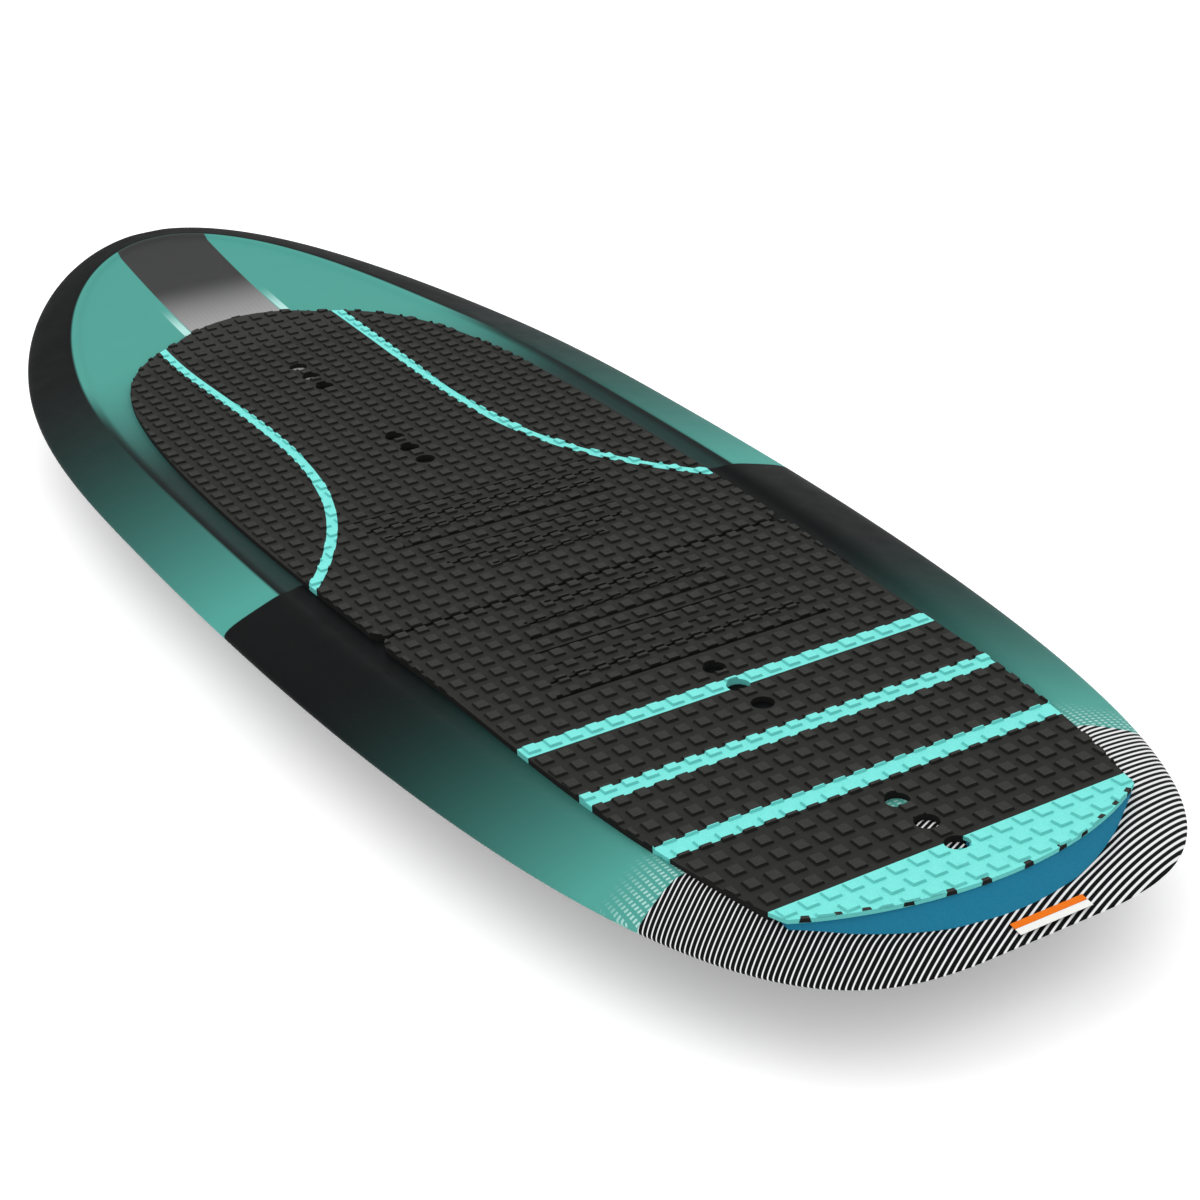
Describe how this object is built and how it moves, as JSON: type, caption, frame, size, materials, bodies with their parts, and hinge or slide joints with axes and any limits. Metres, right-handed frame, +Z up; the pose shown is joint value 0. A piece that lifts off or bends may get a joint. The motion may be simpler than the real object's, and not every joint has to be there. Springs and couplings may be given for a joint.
{
  "type": "stand up foil board",
  "caption": "Short rigid stand-up foil board with a recessed deck, EVA traction pads, kick wedge, foot-strap inserts and sliding T-nuts in two foil tracks.",
  "frame": {"origin": "centre of the board's bounding box in plan, on the flat of the bottom", "axes": "+X to the nose, +Y to port, +Z up out of the deck"},
  "size_m": [1.22, 0.43, 0.1012],
  "materials": {
    "core_foam": "bead foam, raw",
    "deck_paint": "satin sprayed laminate, teal fading to black",
    "hull_paint": "satin sprayed laminate, black",
    "dense_foam": "high-density foam, raw",
    "track_metal": "black anodised",
    "insert_metal": "plain turned",
    "nut_steel": "stainless, tumbled",
    "dark_eva": "matt moulded foam with raised squares",
    "light_eva": "matt moulded foam with raised squares",
    "wedge_foam": "matt cut foam"
  },
  "bodies": {
    "board": {"foam_core": "core_foam", "deck_skin": "deck_paint", "hull_skin": "hull_paint", "track_block": "dense_foam", "port_track": "track_metal", "starboard_track": "track_metal", "front_strap_fore_plug": "dense_foam", "front_strap_fore_inserts": "insert_metal", "front_strap_aft_plug": "dense_foam", "front_strap_aft_inserts": "insert_metal", "rear_strap_fore_plug": "dense_foam", "rear_strap_fore_inserts": "insert_metal", "rear_strap_aft_plug": "dense_foam", "rear_strap_aft_inserts": "insert_metal", "front_pad_centre": "dark_eva", "front_pad_port": "dark_eva", "front_pad_starboard": "dark_eva", "rear_pad_1": "dark_eva", "rear_pad_2": "dark_eva", "rear_pad_3": "dark_eva", "rear_pad_4": "dark_eva", "front_strip_port": "light_eva", "front_strip_starboard": "light_eva", "rear_strip_1": "light_eva", "rear_strip_2": "light_eva", "rear_strip_3": "light_eva", "tail_band": "light_eva", "kick_wedge": "wedge_foam"},
    "port_front_tnut_body": {"port_front_tnut": "nut_steel"},
    "port_rear_tnut_body": {"port_rear_tnut": "nut_steel"},
    "starboard_front_tnut_body": {"starboard_front_tnut": "nut_steel"},
    "starboard_rear_tnut_body": {"starboard_rear_tnut": "nut_steel"}
  },
  "joints": [
    {"name": "port_front_nut_slide", "type": "slide", "parent": "board", "child": "port_front_tnut_body", "axis": [1, 0, 0], "range_m": [-0.062, 0.042]},
    {"name": "port_rear_nut_slide", "type": "slide", "parent": "board", "child": "port_rear_tnut_body", "axis": [1, 0, 0], "range_m": [-0.042, 0.062]},
    {"name": "starboard_front_nut_slide", "type": "slide", "parent": "board", "child": "starboard_front_tnut_body", "axis": [1, 0, 0], "range_m": [-0.062, 0.042]},
    {"name": "starboard_rear_nut_slide", "type": "slide", "parent": "board", "child": "starboard_rear_tnut_body", "axis": [1, 0, 0], "range_m": [-0.042, 0.062]}
  ]
}
